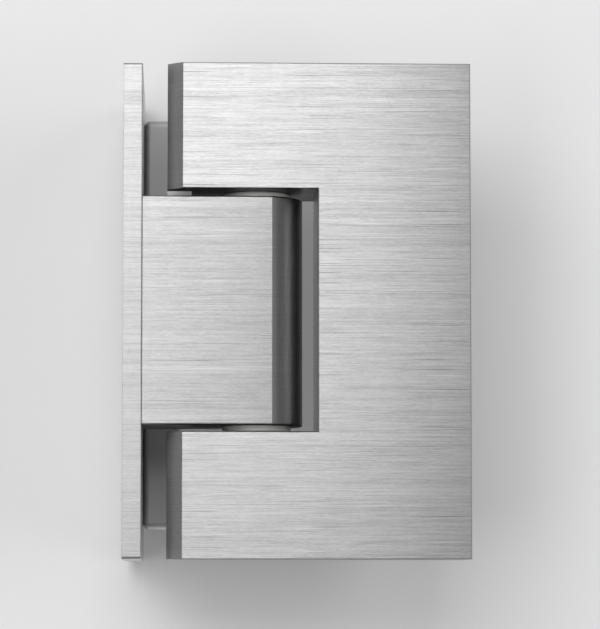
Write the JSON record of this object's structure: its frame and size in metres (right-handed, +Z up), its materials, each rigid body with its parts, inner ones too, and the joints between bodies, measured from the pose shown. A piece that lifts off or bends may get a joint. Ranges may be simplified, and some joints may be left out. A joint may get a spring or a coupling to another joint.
{
  "type": "glass door hinge",
  "caption": "Wall-to-glass shower door hinge in brushed steel: wall plate, knuckle with a detent pivot, and two clamp plates that grip the glass.",
  "frame": {"origin": "on the wall face of the wall plate, level with the pivot axis and half way up", "axes": "+X from the wall into the glass, +Z up along the pivot axis, -Y out of the face that is seen"},
  "size_m": [0.063, 0.051, 0.09],
  "materials": {
    "brushed_steel": "fine horizontal brushing, satin",
    "cast_bar": "smooth satin, as cast and bead blasted",
    "turned_steel": "turned, bright",
    "screw_steel": "plain stainless, bright",
    "spring_steel": "drawn wire, bright",
    "acetal": "natural off-white acetal, machined",
    "gasket": "translucent grey-white PVC sheet, matt"
  },
  "bodies": {
    "root": {"wall_plate": "brushed_steel", "fixing_bar": "cast_bar", "knuckle": "brushed_steel", "upper_bush": "acetal", "lower_bush": "acetal", "upper_spring": "spring_steel", "lower_spring": "spring_steel", "upper_spring_plug": "screw_steel", "lower_spring_plug": "screw_steel", "knuckle_screw_upper": "screw_steel", "knuckle_screw_lower": "screw_steel", "bar_screw_upper": "screw_steel", "bar_screw_lower": "screw_steel"},
    "door": {"front_plate": "brushed_steel", "rear_plate": "brushed_steel", "front_gasket": "gasket", "rear_gasket": "gasket", "pivot_pin": "turned_steel", "clamp_screw_1": "screw_steel", "clamp_screw_2": "screw_steel", "clamp_screw_3": "screw_steel", "clamp_screw_4": "screw_steel"},
    "upper_detent": {"upper_plunger": "turned_steel"},
    "lower_detent": {"lower_plunger": "turned_steel"}
  },
  "joints": [
    {"name": "door_pivot", "type": "hinge", "parent": "root", "child": "door", "pos_m": [0.0244, 0, 0], "axis": [0, 0, 1], "range_deg": [-90, 90]},
    {"name": "upper_detent_slide", "type": "slide", "parent": "root", "child": "upper_detent", "axis": [1, 0, 0], "range_m": [0, 0.0016]},
    {"name": "lower_detent_slide", "type": "slide", "parent": "root", "child": "lower_detent", "axis": [1, 0, 0], "range_m": [0, 0.0016]}
  ],
  "couplings": [
    {"joint": "lower_detent_slide", "follows": "upper_detent_slide", "ratio": 1}
  ]
}
